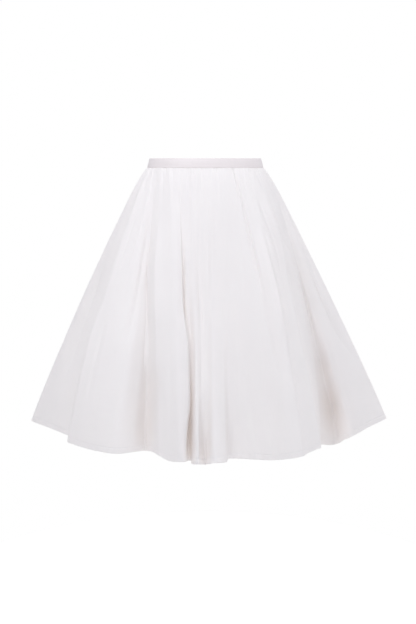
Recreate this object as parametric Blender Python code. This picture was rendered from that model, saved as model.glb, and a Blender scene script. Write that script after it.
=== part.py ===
"""Gathered flared midi skirt with a plain elastic waistband, worn and hollow.

Units are metres, +Z is up and the wearer faces -Y. The origin is the middle of the waistband: the centre
of the waist, half way up the band. A turn is an angle round the waist in degrees, 0 at +X, 90 at the back
and 270 at the front. Down runs from 0 at the waist seam to 1 at the hem. Left and right are as seen from
the front, so the right side, at +X, is the wearer's left.
"""

import math
from collections import namedtuple

import bmesh
import bpy
from mathutils import Vector

# Waistband: an elastic satin band, narrower at its top edge
BAND_HEIGHT = 0.021
BAND_TOP_HALF_WIDTH = 0.1245
BAND_TOP_HALF_DEPTH = 0.0945
BAND_BOTTOM_HALF_WIDTH = 0.1300
BAND_BOTTOM_HALF_DEPTH = 0.0990
BAND_THICKNESS = 0.0022
BAND_EDGE_ROUNDING = 0.0005
BAND_SEGMENTS = 96

# Cloth wall, how far the band stands proud of it, and the turns of the two side seams
CLOTH_THICKNESS = 0.0012
SEAM_GAP = 0.0003
BAND_PROUD = 0.0004
LEFT_SEAM_TURN = 180.0
RIGHT_SEAM_TURN = 360.0

# Flare: the half axes of the plain cone's hem, and the puff that rounds the cone just below the band
FLARE_HALF_WIDTH = 0.385
FLARE_HALF_DEPTH = 0.305
PUFF = 0.038
PUFF_RISE = 0.05
PUFF_FALL_POWER = 4

# Fine gathers under the band. They are deepest at the share GATHER_PEAK of the way down
GATHERS = 52
GATHER_DEPTH = 0.0013
GATHER_PEAK = 0.05
GATHER_AT_SEAM = 0.35

# Slow waves round the waist, as count and phase, that move the gathers sideways or change their depth
GATHER_WANDER = 0.9
WANDER_WAVES = ((5, 1.0), (11, 0.0))
GATHER_UNEVEN = 0.35
UNEVEN_WAVES = ((7, 2.0), (17, 0.0))

# Grid of each panel, and the angle from which an edge is shaded sharp
SHARP_DEGREES = 50
COLUMNS_PER_GATHER = 6
ROWS_DOWN = (0.0, 0.025, 0.06, 0.11, 0.18, 0.29, 0.43, 0.59, 0.76, 0.9, 1.0)

# One row for each turning point of the hem, in order round the waist. The turn is where its line leaves the
# waist, hem_turn and reach place it in plan at the hem, and drop is its depth below the origin. Growth is
# the power by which the fold deepens on its way down: 1 from the waist on, more for a fold that opens near
# the hem. Swell is how far the cloth bellies out half way down, or sinks in where it is negative.
Fold = namedtuple("Fold", "name turn hem_turn reach drop growth swell")
FOLDS = (
    Fold("right_back_valley", 10, 11, 0.330, 0.588, 1.4, 0),
    Fold("back_1_crest", 25, 27, 0.392, 0.584, 1.0, 0.006),
    Fold("back_1_valley", 38, 38, 0.296, 0.600, 1.2, 0),
    Fold("back_2_crest", 49, 49, 0.366, 0.590, 1.0, 0.008),
    Fold("back_2_face", 58, 57, 0.352, 0.592, 1.0, 0.004),
    Fold("back_2_valley", 66, 64, 0.258, 0.606, 1.5, 0),
    Fold("back_3_crest", 75, 73, 0.345, 0.594, 1.0, 0.004),
    Fold("back_3_valley", 84, 83, 0.290, 0.602, 2.2, -0.004),
    Fold("back_4_crest", 94, 92, 0.346, 0.594, 1.0, 0.006),
    Fold("back_4_face", 102, 101, 0.338, 0.595, 1.0, 0.002),
    Fold("back_4_valley", 111, 109, 0.262, 0.606, 1.3, 0),
    Fold("back_5_crest", 120, 119, 0.350, 0.593, 1.0, 0.004),
    Fold("back_5_valley", 129, 128, 0.300, 0.600, 2.0, -0.004),
    Fold("back_6_crest", 139, 138, 0.368, 0.589, 1.0, 0.008),
    Fold("back_6_valley", 149, 149, 0.298, 0.599, 1.2, 0),
    Fold("back_7_crest", 160, 160, 0.385, 0.585, 1.0, 0.006),
    Fold("left_back_valley", 171, 171, 0.325, 0.590, 1.5, 0),
    Fold("left_corner", 183, 182.9, 0.398, 0.582, 1.0, 0.002),
    Fold("left_face", 189, 197.0, 0.359, 0.580, 1.0, 0.006),
    Fold("left_valley", 194, 211.7, 0.319, 0.590, 1.2, 0.010),
    Fold("a_edge", 199, 218.9, 0.363, 0.581, 1.0, 0.018),
    Fold("a_face", 206, 230.4, 0.363, 0.583, 1.0, 0.010),
    Fold("a_crest", 210, 238.6, 0.354, 0.585, 1.0, 0.004),
    Fold("a_side", 214, 242.1, 0.324, 0.587, 1.5, 0),
    Fold("ab_valley", 218.5, 242.7, 0.277, 0.596, 2.8, 0),
    Fold("b_left", 221.5, 250.4, 0.315, 0.585, 2.2, 0.004),
    Fold("b_crest", 231, 257.5, 0.334, 0.593, 1.0, 0.003),
    Fold("b_edge", 243, 263.4, 0.332, 0.594, 1.8, 0.003),
    Fold("b_back", 248.5, 260.8, 0.246, 0.617, 4.0, 0),
    Fold("bc_valley", 252.5, 262.4, 0.232, 0.620, 4.2, -0.001),
    Fold("c_edge", 256.5, 265.1, 0.311, 0.604, 2.2, -0.003),
    Fold("c_crest", 263, 267.8, 0.334, 0.598, 3.0, -0.002),
    Fold("cd_valley", 270.5, 270.0, 0.300, 0.608, 8.0, 0),
    Fold("d_crest", 276, 272.9, 0.337, 0.595, 4.0, 0.001),
    Fold("d_edge", 282, 277.5, 0.328, 0.596, 4.5, 0),
    Fold("de_valley", 287, 279.9, 0.296, 0.598, 6.0, 0),
    Fold("e_side", 294, 286.9, 0.309, 0.598, 2.5, 0),
    Fold("e_crest", 305, 293.9, 0.335, 0.597, 1.4, 0.004),
    Fold("e_face", 320, 299.7, 0.361, 0.590, 1.0, 0.006),
    Fold("e_edge", 335, 313.7, 0.348, 0.589, 1.0, 0.009),
    Fold("e_back", 340, 329.0, 0.293, 0.608, 1.8, 0.005),
    Fold("ef_valley", 343, 336.0, 0.280, 0.615, 1.9, 0.003),
    Fold("f_valley", 346.5, 339.0, 0.294, 0.616, 1.8, 0.001),
    Fold("f_edge", 350.2, 339.2, 0.327, 0.600, 1.4, 0),
    Fold("right_face", 354, 343.9, 0.366, 0.584, 1.0, 0),
    Fold("right_corner", 359, 358.3, 0.415, 0.579, 1.0, 0),
)


def clear_scene():
    for thing in list(bpy.data.objects):
        bpy.data.objects.remove(thing)


def material(name, colour, roughness):
    made = bpy.data.materials.new(name)
    made.use_nodes = True
    shader = made.node_tree.nodes["Principled BSDF"]
    shader.inputs["Base Color"].default_value = (*colour, 1.0)
    shader.inputs["Roughness"].default_value = roughness
    shader.inputs["Metallic"].default_value = 0.0
    made.diffuse_color = (*colour, 1.0)
    return made


def ellipse(turn, half_width, half_depth, height):
    angle = math.radians(turn)
    return Vector((half_width * math.cos(angle), half_depth * math.sin(angle), height))


def flare_reach(hem_turn):
    """Distance from the middle to the plain cone's hem, in the direction hem_turn."""
    angle = math.radians(hem_turn)
    return 1 / math.hypot(math.cos(angle) / FLARE_HALF_WIDTH, math.sin(angle) / FLARE_HALF_DEPTH)


def fold_values(fold):
    """What is blended from fold to fold: the hem point, the plain cone's hem point, growth and swell."""
    angle = math.radians(fold.hem_turn)
    ahead = Vector((math.cos(angle), math.sin(angle)))
    hem = ahead * fold.reach
    plain = ahead * flare_reach(fold.hem_turn)
    return Vector((hem.x, hem.y, fold.drop)), plain, Vector((fold.growth, fold.swell))


def blend_folds(turn):
    """The values of fold_values at any turn, on a smooth closed curve through the rows."""
    count = len(FOLDS)
    turn = turn % 360
    after = next((i for i, fold in enumerate(FOLDS) if fold.turn > turn), 0)
    picks = [(after + step) % count for step in (-2, -1, 0, 1)]
    turns = [FOLDS[i].turn for i in picks]
    gaps = [(turns[i + 1] - turns[i]) % 360 for i in range(3)]
    share = ((turn - turns[1]) % 360) / gaps[1]
    square, cube = share * share, share * share * share
    blended = []
    for values in zip(*(fold_values(FOLDS[i]) for i in picks)):
        start = (values[2] - values[0]) * gaps[1] / (gaps[0] + gaps[1])
        end = (values[3] - values[1]) * gaps[1] / (gaps[1] + gaps[2])
        blended.append(
            values[1] * (2 * cube - 3 * square + 1)
            + start * (cube - 2 * square + share)
            + values[2] * (3 * square - 2 * cube)
            + end * (cube - square)
        )
    return blended


def flare_share(down):
    """How far out the plain cone is: straight, but puffed out just below the band."""
    return down + PUFF * (1 - math.exp(-down / PUFF_RISE)) * (1 - down**PUFF_FALL_POWER)


def slow_waves(angle, waves):
    return sum(math.sin(count * angle + phase) for count, phase in waves)


def gather_depth(turn, down):
    """Height of the fine gathers: uneven waves that are tight at the seam and fade out below it."""
    angle = math.radians(turn)
    wave = math.cos(GATHERS * angle + GATHER_WANDER * slow_waves(angle, WANDER_WAVES))
    uneven = 1 + GATHER_UNEVEN * slow_waves(angle, UNEVEN_WAVES)
    share = down / GATHER_PEAK
    fade = GATHER_AT_SEAM * math.exp(-share) + share * math.exp(1 - share)
    return GATHER_DEPTH * fade * uneven * wave


def cloth_point(turn, down):
    """A point of the cloth's outer face."""
    waist = ellipse(turn, BAND_BOTTOM_HALF_WIDTH - BAND_PROUD, BAND_BOTTOM_HALF_DEPTH - BAND_PROUD, 0)
    hem, plain, (growth, swell) = blend_folds(turn)
    out = Vector((waist.x / BAND_BOTTOM_HALF_WIDTH**2, waist.y / BAND_BOTTOM_HALF_DEPTH**2)).normalized()
    place = waist.xy + (plain - waist.xy) * flare_share(down)
    place += (hem.xy - plain) * down ** max(growth, 1)
    place += plain.normalized() * swell * 4 * down * (1 - down)
    place += out * gather_depth(turn, down)
    top = -BAND_HEIGHT / 2 - SEAM_GAP
    return Vector((place.x, place.y, top - (hem.z + top) * down))


def cloth_normal(turn, down):
    """Outward direction of the cloth's face."""
    step_turn, step_down = 0.05, 0.002
    low, high = max(down - step_down, 0), min(down + step_down, 1)
    along = cloth_point(turn + step_turn, down) - cloth_point(turn - step_turn, down)
    below = cloth_point(turn, low) - cloth_point(turn, high)
    return along.cross(below).normalized()


def new_object(name, bm, finish):
    """Turns a bmesh into a named, smooth object with its material."""
    bmesh.ops.recalc_face_normals(bm, faces=bm.faces)
    mesh = bpy.data.meshes.new(name)
    bm.to_mesh(mesh)
    bm.free()
    mesh.materials.append(finish)
    mesh.shade_smooth()
    mesh.set_sharp_from_angle(angle=math.radians(SHARP_DEGREES))
    made = bpy.data.objects.new(name, mesh)
    bpy.context.scene.collection.objects.link(made)
    return made


def cloth_panel(name, first_turn, last_turn, finish):
    """One cut panel as a closed wall: an outer grid, an inner grid behind it and a rim round both."""
    columns = round(GATHERS * (last_turn - first_turn) / 360) * COLUMNS_PER_GATHER
    bm = bmesh.new()
    outer, inner = [], []
    for column in range(columns + 1):
        turn = first_turn + (last_turn - first_turn) * column / columns
        side = (column == 0) - (column == columns)
        for down in ROWS_DOWN:
            point = cloth_point(turn, down)
            normal = cloth_normal(turn, down)
            if side:
                ahead = cloth_point(turn + side, down) - point
                point += ahead.normalized() * SEAM_GAP / 2
            outer.append(bm.verts.new(point))
            inner.append(bm.verts.new(point - normal * CLOTH_THICKNESS))
    rows = len(ROWS_DOWN)
    for column in range(columns):
        for row in range(rows - 1):
            a = column * rows + row
            b = a + rows
            bm.faces.new((outer[a], outer[a + 1], outer[b + 1], outer[b]))
            bm.faces.new((inner[a], inner[b], inner[b + 1], inner[a + 1]))
    top = [column * rows for column in range(columns + 1)]
    right = [columns * rows + row for row in range(rows)]
    bottom = [column * rows + rows - 1 for column in range(columns, -1, -1)]
    left = list(range(rows - 1, -1, -1))
    for edge in (top, right, bottom, left):
        for a, b in zip(edge, edge[1:]):
            bm.faces.new((outer[a], outer[b], inner[b], inner[a]))
    return new_object(name, bm, finish)


def waistband(finish):
    """The band: a tapering oval ring with rounded edges, made from one section at each segment."""
    half, cut = BAND_HEIGHT / 2, BAND_EDGE_ROUNDING
    # in from the outer face, height
    section = (
        (cut, -half),
        (0, cut - half),
        (0, half - cut),
        (cut, half),
        (BAND_THICKNESS - cut, half),
        (BAND_THICKNESS, half - cut),
        (BAND_THICKNESS, cut - half),
        (BAND_THICKNESS - cut, -half),
    )
    bm = bmesh.new()
    rings = []
    for segment in range(BAND_SEGMENTS):
        turn = 360 * segment / BAND_SEGMENTS
        ring = []
        for inset, height in section:
            rise = height / BAND_HEIGHT + 0.5
            half_width = BAND_BOTTOM_HALF_WIDTH + (BAND_TOP_HALF_WIDTH - BAND_BOTTOM_HALF_WIDTH) * rise
            half_depth = BAND_BOTTOM_HALF_DEPTH + (BAND_TOP_HALF_DEPTH - BAND_BOTTOM_HALF_DEPTH) * rise
            ring.append(bm.verts.new(ellipse(turn, half_width - inset, half_depth - inset, height)))
        rings.append(ring)
    for ring, following in zip(rings, rings[1:] + rings[:1]):
        for i in range(len(section)):
            j = (i + 1) % len(section)
            bm.faces.new((ring[i], following[i], following[j], ring[j]))
    return new_object("waistband", bm, finish)


def main():
    clear_scene()
    cloth = material("skirt_cloth", (0.90, 0.88, 0.90), 0.75)
    satin = material("band_satin", (0.83, 0.80, 0.83), 0.45)
    waistband(satin)
    cloth_panel("front_panel", LEFT_SEAM_TURN, RIGHT_SEAM_TURN, cloth)
    cloth_panel("back_panel", RIGHT_SEAM_TURN - 360, LEFT_SEAM_TURN, cloth)


main()
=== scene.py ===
"""Looks of the gathered flared skirt: fine cloth shells, a satin band, sewing, light and camera.

Units are metres where no other is named, +Z is up and the wearer faces -Y. A turn is an angle round the waist
in degrees, 0 at +X, 90 at the back and 270 at the front. Down runs from 0 at the waist seam to 1 at the hem.
Left and right are as seen from the front. The large folds are named a to f from left to right in front, and
1 to 7 from right to left behind.
"""

import math
from collections import namedtuple

import bpy
import numpy as np
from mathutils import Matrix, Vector


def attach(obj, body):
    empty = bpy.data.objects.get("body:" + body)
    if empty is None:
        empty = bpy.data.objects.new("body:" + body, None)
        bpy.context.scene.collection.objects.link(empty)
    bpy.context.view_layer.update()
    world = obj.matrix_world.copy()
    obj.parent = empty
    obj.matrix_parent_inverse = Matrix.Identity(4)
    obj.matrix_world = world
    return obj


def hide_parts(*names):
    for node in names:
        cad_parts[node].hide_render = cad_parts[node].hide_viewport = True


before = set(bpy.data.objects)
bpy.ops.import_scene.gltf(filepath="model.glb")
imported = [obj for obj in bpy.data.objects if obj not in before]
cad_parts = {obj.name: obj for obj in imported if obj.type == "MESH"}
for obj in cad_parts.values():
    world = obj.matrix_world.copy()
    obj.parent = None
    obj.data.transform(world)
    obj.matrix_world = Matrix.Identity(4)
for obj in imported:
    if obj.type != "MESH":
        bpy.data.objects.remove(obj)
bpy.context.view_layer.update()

MM_PER_M = 1000

# Waistband, as in the solids
BAND_HEIGHT = 0.021
BAND_TOP_HALF_WIDTH = 0.1245
BAND_TOP_HALF_DEPTH = 0.0945
BAND_BOTTOM_HALF_WIDTH = 0.1300
BAND_BOTTOM_HALF_DEPTH = 0.0990
BAND_THICKNESS = 0.0022
BAND_PROUD = 0.0004

# Flare and folds, as in the solids
LEFT_SEAM_TURN = 180.0
RIGHT_SEAM_TURN = 360.0
FLARE_HALF_WIDTH = 0.385
FLARE_HALF_DEPTH = 0.305
PUFF = 0.038
PUFF_RISE = 0.05
PUFF_FALL_POWER = 4
Fold = namedtuple("Fold", "name turn hem_turn reach drop growth swell")
FOLDS = (
    Fold("right_back_valley", 10, 11, 0.330, 0.588, 1.4, 0),
    Fold("back_1_crest", 25, 27, 0.392, 0.584, 1.0, 0.006),
    Fold("back_1_valley", 38, 38, 0.296, 0.600, 1.2, 0),
    Fold("back_2_crest", 49, 49, 0.366, 0.590, 1.0, 0.008),
    Fold("back_2_face", 58, 57, 0.352, 0.592, 1.0, 0.004),
    Fold("back_2_valley", 66, 64, 0.258, 0.606, 1.5, 0),
    Fold("back_3_crest", 75, 73, 0.345, 0.594, 1.0, 0.004),
    Fold("back_3_valley", 84, 83, 0.290, 0.602, 2.2, -0.004),
    Fold("back_4_crest", 94, 92, 0.346, 0.594, 1.0, 0.006),
    Fold("back_4_face", 102, 101, 0.338, 0.595, 1.0, 0.002),
    Fold("back_4_valley", 111, 109, 0.262, 0.606, 1.3, 0),
    Fold("back_5_crest", 120, 119, 0.350, 0.593, 1.0, 0.004),
    Fold("back_5_valley", 129, 128, 0.300, 0.600, 2.0, -0.004),
    Fold("back_6_crest", 139, 138, 0.368, 0.589, 1.0, 0.008),
    Fold("back_6_valley", 149, 149, 0.298, 0.599, 1.2, 0),
    Fold("back_7_crest", 160, 160, 0.385, 0.585, 1.0, 0.006),
    Fold("left_back_valley", 171, 171, 0.325, 0.590, 1.5, 0),
    Fold("left_corner", 183, 182.9, 0.398, 0.582, 1.0, 0.002),
    Fold("left_face", 189, 197.0, 0.359, 0.580, 1.0, 0.006),
    Fold("left_valley", 194, 211.7, 0.319, 0.590, 1.2, 0.010),
    Fold("a_edge", 199, 218.9, 0.363, 0.581, 1.0, 0.018),
    Fold("a_face", 206, 230.4, 0.363, 0.583, 1.0, 0.010),
    Fold("a_crest", 210, 238.6, 0.354, 0.585, 1.0, 0.004),
    Fold("a_side", 214, 242.1, 0.324, 0.587, 1.5, 0),
    Fold("ab_valley", 218.5, 242.7, 0.277, 0.596, 2.8, 0),
    Fold("b_left", 221.5, 250.4, 0.315, 0.585, 2.2, 0.004),
    Fold("b_crest", 231, 257.5, 0.334, 0.593, 1.0, 0.003),
    Fold("b_edge", 243, 263.4, 0.332, 0.594, 1.8, 0.003),
    Fold("b_back", 248.5, 260.8, 0.246, 0.617, 4.0, 0),
    Fold("bc_valley", 252.5, 262.4, 0.232, 0.620, 4.2, -0.001),
    Fold("c_edge", 256.5, 265.1, 0.311, 0.604, 2.2, -0.003),
    Fold("c_crest", 263, 267.8, 0.334, 0.598, 3.0, -0.002),
    Fold("cd_valley", 270.5, 270.0, 0.300, 0.608, 8.0, 0),
    Fold("d_crest", 276, 272.9, 0.337, 0.595, 4.0, 0.001),
    Fold("d_edge", 282, 277.5, 0.328, 0.596, 4.5, 0),
    Fold("de_valley", 287, 279.9, 0.296, 0.598, 6.0, 0),
    Fold("e_side", 294, 286.9, 0.309, 0.598, 2.5, 0),
    Fold("e_crest", 305, 293.9, 0.335, 0.597, 1.4, 0.004),
    Fold("e_face", 320, 299.7, 0.361, 0.590, 1.0, 0.006),
    Fold("e_edge", 335, 313.7, 0.348, 0.589, 1.0, 0.009),
    Fold("e_back", 340, 329.0, 0.293, 0.608, 1.8, 0.005),
    Fold("ef_valley", 343, 336.0, 0.280, 0.615, 1.9, 0.003),
    Fold("f_valley", 346.5, 339.0, 0.294, 0.616, 1.8, 0.001),
    Fold("f_edge", 350.2, 339.2, 0.327, 0.600, 1.4, 0),
    Fold("right_face", 354, 343.9, 0.366, 0.584, 1.0, 0),
    Fold("right_corner", 359, 358.3, 0.415, 0.579, 1.0, 0),
)

# Creases on the folds. Each runs from one place on the cloth to another, its middle bowed to higher turns by
# bow degrees. Height is in millimetres, over 0 for a ridge and under 0 for a trough. Before and after are the
# widths of its flanks in millimetres, towards lower and higher turns.
Crease = namedtuple("Crease", "name turn down end_turn end_down bow height before after")
FRONT_CREASES = (
    Crease("left_valley_line", 188, 0.33, 189, 0.86, 0, -3.6, 6, 8),
    Crease("left_valley_lip", 186, 0.40, 186, 0.80, 0, 1.2, 8, 6),
    Crease("left_corner_pull", 185, 0.62, 186, 1.00, 0, -1.0, 9, 12),
    Crease("a_edge_ridge", 198.6, 0.46, 198.6, 1.00, 0, 7.0, 10, 11),
    Crease("a_edge_line", 203, 0.50, 202.5, 0.90, 0, -2.0, 4, 6),
    Crease("left_ridge", 210, 0.00, 206, 0.44, 0.5, 1.8, 7, 5),
    Crease("left_trough", 205, 0.13, 202, 0.46, 0, -1.6, 7, 6),
    Crease("left_soft", 201, 0.36, 202, 0.70, 0.5, -0.9, 9, 9),
    Crease("a_line", 213, 0.10, 209, 0.74, 0.2, -2.3, 5, 6),
    Crease("a_line_lip", 210, 0.42, 207.5, 0.70, 0, 1.0, 9, 4),
    Crease("a_crest_ridge", 212, 0.46, 209, 1.00, 0.4, 3.0, 12, 12),
    Crease("ab_line", 213.5, 0.28, 219.5, 0.74, 1.5, -2.2, 4, 4),
    Crease("b_tick", 223, 0.02, 231, 0.07, 0, -0.8, 2.5, 2.5),
    Crease("b_hem_pull", 225, 0.70, 227, 1.00, 0, -1.6, 7, 9),
    Crease("b_soft", 236, 0.45, 235, 0.96, 0, -0.8, 16, 14),
    Crease("b_line", 246, 0.02, 247, 0.34, -0.5, -0.8, 3.5, 3),
    Crease("c_soft", 257, 0.05, 257.5, 0.38, 0, 0.9, 4, 4),
    Crease("c_hollow", 263, 0.05, 268.5, 0.66, -1.5, -2.2, 14, 9),
    Crease("c_line", 262.5, 0.28, 268, 0.60, -1.0, -1.2, 4, 4),
    Crease("cd_line", 273, 0.04, 272.5, 0.42, 0.3, -1.2, 3.5, 3.5),
    Crease("d_ridge", 276.5, 0.07, 275, 0.46, 0.5, 1.3, 4, 5),
    Crease("d_hem_ridge", 275, 0.72, 275, 1.00, 0, 1.0, 8, 8),
    Crease("e_soft_1", 290, 0.18, 290, 0.50, 0, -0.9, 9, 7),
    Crease("e_soft_2", 299, 0.18, 298, 0.52, 0, -0.9, 7, 7),
    Crease("a_fan_line", 298, 0.00, 313, 0.52, 1.6, -2.8, 4.5, 3.5),
    Crease("a_fan_lip", 301, 0.04, 315.5, 0.48, 1.6, 1.2, 3, 7),
    Crease("a_fan_low", 309, 0.40, 318, 0.80, -0.5, -1.3, 7, 5),
    Crease("b_fan_top", 325, 0.00, 333, 0.09, 0, -1.3, 3, 3),
    Crease("b_fan_line", 314, 0.05, 329.5, 0.42, 6.0, -2.8, 4, 5),
    Crease("b_fan_lip", 312, 0.08, 326.5, 0.38, 5.0, 1.2, 6, 3),
    Crease("e_crest_ridge", 318.5, 0.16, 323, 1.00, 2.5, 3.2, 16, 8),
    Crease("e_hem_1", 294, 0.70, 299, 1.00, 0, -1.3, 9, 9),
    Crease("e_hem_2", 304, 0.72, 302, 0.95, 0, -1.0, 8, 8),
    Crease("e_hem_3", 311, 0.74, 312, 1.00, 0, -0.9, 12, 10),
    Crease("c_fan_top", 337, 0.12, 346.5, 0.46, -2.2, -2.2, 5, 6),
    Crease("c_fan_line", 346.8, 0.36, 347, 0.70, 0, -3.2, 6, 7),
    Crease("d_fan_lip", 353, 0.14, 356.4, 0.66, 2.0, 2.2, 6, 4),
    Crease("d_fan_line", 358.4, 0.10, 358.2, 0.80, -4.0, -5.0, 4.0, 4.0),
    Crease("right_faint", 353, 0.64, 350, 0.90, 0, -1.1, 6, 6),
    Crease("right_soft", 357.5, 0.55, 358, 1.00, 0, 1.0, 8, 8),
)
BACK_CREASES = (
    Crease("back_right_line", 6, 0.08, 9, 0.70, 0.5, -2.4, 5, 7),
    Crease("back_right_lip", 17, 0.25, 19, 0.85, 0, 1.4, 9, 6),
    Crease("back_1_line", 28, 0.03, 30, 0.55, -0.8, -2.2, 4, 5),
    Crease("back_1_hem", 33, 0.62, 32, 1.00, 0, -1.6, 9, 8),
    Crease("back_1_trough", 38, 0.40, 38, 1.00, 0, -3.0, 9, 10),
    Crease("back_2_fan", 44, 0.00, 49, 0.46, 0.6, -2.5, 5, 3.5),
    Crease("back_2_ridge", 51, 0.20, 50, 0.94, 0.8, 2.2, 12, 9),
    Crease("back_2_soft", 56, 0.50, 59, 1.00, 0, -1.1, 10, 10),
    Crease("back_2_line", 62, 0.04, 61, 0.40, -0.5, -1.8, 4, 4),
    Crease("back_3_ridge", 75, 0.12, 74, 0.80, 0.5, 1.5, 6, 8),
    Crease("back_3_line", 80, 0.02, 79, 0.62, 0.6, -2.0, 4, 4.5),
    Crease("back_3_hem", 88, 0.66, 86, 1.00, 0, -1.6, 8, 7),
    Crease("back_4_fan", 91, 0.00, 96, 0.50, 0.5, -2.0, 4, 5),
    Crease("back_4_soft", 99, 0.30, 98, 0.86, 0, -1.0, 9, 10),
    Crease("back_4_line", 106, 0.03, 104, 0.44, -0.6, -2.3, 5, 4),
    Crease("back_4_hem", 103, 0.70, 101, 1.00, 0, -1.4, 8, 8),
    Crease("back_5_ridge", 119, 0.15, 120, 0.88, 0, 1.8, 9, 9),
    Crease("back_5_line", 123, 0.02, 125, 0.56, 0.5, -2.1, 4, 5),
    Crease("back_6_fan", 134, 0.00, 131, 0.42, -0.5, -2.4, 4, 5),
    Crease("back_6_ridge", 140, 0.22, 139, 0.95, 0.6, 2.1, 11, 12),
    Crease("back_6_hem", 144, 0.66, 143, 1.00, 0, -1.5, 8, 9),
    Crease("back_6_trough", 149, 0.38, 149, 1.00, 0, -3.0, 10, 9),
    Crease("back_7_line", 156, 0.05, 153, 0.60, -0.5, -2.3, 5, 5),
    Crease("back_7_soft", 164, 0.30, 163, 0.92, 0, -1.2, 9, 10),
    Crease("back_left_line", 175, 0.08, 172, 0.72, -0.5, -2.4, 6, 5),
)

# How they end and widen: the share of its length over which a crease or nudge fades in and out, and the
# factor on a crease's widths at the waist and what is added to it down to the hem
END_FADE = 0.35
CREASE_SPREAD_AT_WAIST = 0.55
CREASE_SPREAD_TO_HEM = 0.9

# Nudges: larger moves of the folded cloth, where it hangs deeper or fuller between folds than in the solids.
# Out is away from the plain cone, along is towards higher turns and sink is down, all in millimetres. Before
# and after are the widths of the flanks in degrees.
Nudge = namedtuple("Nudge", "name turn down end_turn end_down out along before after sink", defaults=(0,))
FRONT_NUDGES = (
    Nudge("left_trough", 188.2, 0.28, 189.4, 0.92, -5.0, 0.0, 2.4, 2.6),
    Nudge("left_rise", 193.0, 0.40, 193.0, 1.00, 4.0, 0.0, 2.4, 3.6),
    Nudge("ab_lift", 218.4, 0.22, 218.6, 0.92, 6.5, 0.0, 3.2, 4.0),
    Nudge("ab_low_trough", 218.2, 0.66, 217.6, 1.00, -9.0, 0.0, 4.5, 4.5),
    Nudge("ab_wall", 218.0, 0.34, 218.4, 0.95, 0.0, 7.0, 5.0, 5.0),
    Nudge("b_left_rise", 222.2, 0.16, 222.0, 0.66, 7.0, -3.0, 2.8, 5.5),
    Nudge("b_lip", 246.2, 0.44, 246.4, 0.98, 5.0, 9.0, 3.4, 2.6),
    Nudge("bc_floor", 253.6, 0.42, 253.6, 0.985, 4.5, 2.0, 2.4, 2.8),
    Nudge("bc_low_floor", 251.8, 0.76, 251.8, 0.992, 14.0, 3.0, 4.6, 4.2),
    Nudge("bc_mid_lift", 250.8, 0.50, 250.8, 0.92, 10.0, 2.0, 4.6, 4.6),
    Nudge("c_low_left", 254.6, 0.62, 254.6, 0.985, 4.0, 0.0, 2.0, 1.8),
    Nudge("bc_top_lift", 253.0, 0.20, 253.0, 0.56, 5.0, 0.0, 3.4, 6.0),
    Nudge("bc_lift", 250.6, 0.40, 250.6, 0.99, 6.0, 0.0, 5.0, 5.0),
    Nudge("bc_root", 248.9, 0.26, 248.9, 0.62, -2.5, 3.0, 1.8, 2.6),
    Nudge("b_bulge", 246.4, 0.46, 246.4, 0.93, 0.0, 4.5, 4.0, 3.0),
    Nudge("bc_low_root", 249.5, 0.50, 249.6, 0.99, -4.0, 0.0, 1.8, 2.4),
    Nudge("c_left", 256.0, 0.50, 256.0, 0.95, 0.0, 3.0, 2.0, 2.5),
    Nudge("cd_fill", 269.5, 0.40, 269.5, 0.92, 4.5, 0.0, 4.6, 4.6),
    Nudge("cd_low_fill", 269.8, 0.66, 269.8, 0.99, 7.0, 0.0, 4.2, 4.2),
    Nudge("e_crest_rise", 322.0, 0.26, 323.4, 1.00, 5.0, 2.0, 6.0, 2.6),
    Nudge("e_upper_crest", 318.5, 0.20, 321.5, 0.66, 6.0, 3.0, 5.0, 2.2),
    Nudge("de_fill", 284.5, 0.50, 285.0, 0.96, 2.0, 0.0, 3.0, 5.0),
    Nudge("c_fan_crest", 331.0, 0.10, 343.0, 0.46, 6.0, 0.0, 5.0, 2.0),
    Nudge("e_low_turn", 332.6, 0.66, 332.6, 1.00, -5.0, 10.0, 6.5, 3.0),
    Nudge("e_side_hollow", 331.0, 0.14, 332.0, 1.00, -4.0, 0.0, 6.0, 5.0),
    Nudge("d_fan_crest", 353.4, 0.12, 355.8, 0.70, 8.0, -1.0, 4.0, 1.6),
    Nudge("right_corner_turn", 356.0, 0.80, 356.0, 1.00, 0.0, 6.0, 3.5, 3.0),
    Nudge("f_lip", 351.2, 0.52, 350.8, 1.00, 6.0, -5.0, 1.2, 3.0),
    Nudge("f_low_trough", 348.2, 0.78, 348.0, 1.00, -4.0, 40.0, 3.6, 1.9, 12.0),
    Nudge("f_trough", 348.6, 0.62, 348.2, 1.00, -4.0, 20.0, 2.8, 1.6, 7.0),
)
BACK_NUDGES = (
    Nudge("back_1_valley_fill", 38.0, 0.30, 38.0, 0.92, 5.0, 0.0, 4.0, 3.5),
    Nudge("back_2_lip", 61.0, 0.36, 61.0, 0.98, 5.0, 4.0, 3.0, 2.0),
    Nudge("back_3_fill", 84.0, 0.40, 84.0, 0.98, 5.0, 0.0, 4.0, 4.0),
    Nudge("back_4_lip", 105.0, 0.40, 105.0, 0.98, 5.0, 3.5, 3.0, 2.0),
    Nudge("back_6_hollow", 143.0, 0.30, 143.0, 1.00, -4.0, 0.0, 3.5, 3.0),
)

# Smaller folds strewn over each panel: how many, the ranges of their heights and flank widths in millimetres
# and of their lengths in down, and the share of them that starts at the waist seam
Strewn = namedtuple(
    "Strewn", "name count height_low height_high width_low width_high length_low length_high top_share"
)
STREWN_FOLDS = (
    Strewn("waist_gathers", 110, 0.15, 0.50, 1.6, 3.0, 0.03, 0.13, 1.0),
    Strewn("long_gathers", 46, 0.25, 0.75, 3.0, 6.0, 0.15, 0.42, 0.8),
    Strewn("soft_streaks", 64, 0.25, 0.80, 8.0, 22.0, 0.25, 0.60, 0.1),
)
STREWN_SEEDS = {"front": 11, "back": 29}
STREWN_SPOT = (0.1, 0.9)
STREWN_LAST_END = 1.1
STREWN_LEAN = 1.5
STREWN_BOW_SHARE = 0.5

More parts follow.
